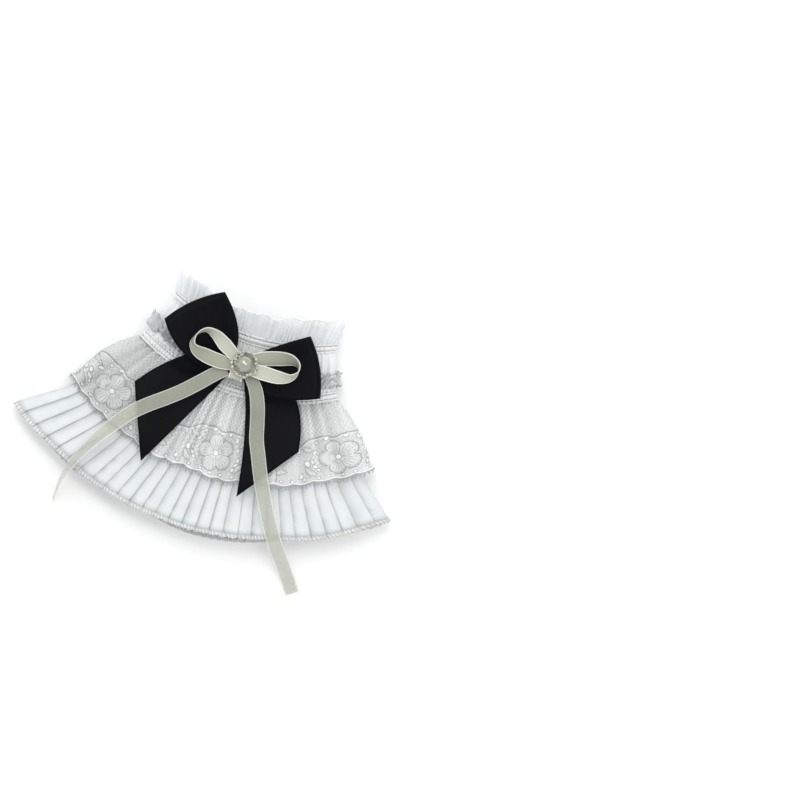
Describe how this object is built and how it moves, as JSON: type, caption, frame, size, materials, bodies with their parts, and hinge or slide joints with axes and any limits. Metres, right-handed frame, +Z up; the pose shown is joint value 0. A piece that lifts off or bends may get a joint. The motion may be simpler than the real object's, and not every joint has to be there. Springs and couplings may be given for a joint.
{
  "type": "lace wrist cuff",
  "caption": "Gathered chiffon wrist cuff lying flat, with a lace flounce over a pleated skirt, a wide black bow and a narrow cream bow with a pearl charm.",
  "frame": {"origin": "on the surface that the cuff lies on, under the middle of its box without the two free cream ribbon tails", "axes": "+X across the cuff from its left to its right side, +Y from the hem towards the wrist edge, +Z up from the surface"},
  "size_m": [0.1732, 0.1215, 0.0372],
  "materials": {
    "chiffon": "white gathered and pleated chiffon with a slight blue cast",
    "lace": "off-white lace with grey thread on a diamond net ground",
    "hem_thread": "light grey overlocked edge",
    "black_satin": "near-black satin ribbon with a soft cool sheen",
    "cream_satin": "pale greenish ivory ribbed satin ribbon with bright selvedges",
    "pearl": "pearly ivory"
  },
  "bodies": {
    "root": {"wrist_frill": "chiffon", "upper_casing": "chiffon", "gathered_band": "chiffon", "ruched_trim": "chiffon", "lower_casing": "chiffon", "lace_flounce": "lace", "pleated_skirt": "chiffon", "hem_edge": "hem_thread", "black_loop_left": "black_satin", "black_loop_right": "black_satin", "black_tail_left": "black_satin", "black_tail_right": "black_satin", "cream_knot": "cream_satin", "cream_loop_left": "cream_satin", "cream_loop_right": "cream_satin", "charm_base": "pearl", "charm_pearl": "pearl", "charm_beads": "pearl", "cream_tail_left": "cream_satin", "cream_tail_right": "cream_satin"}
  },
  "joints": []
}
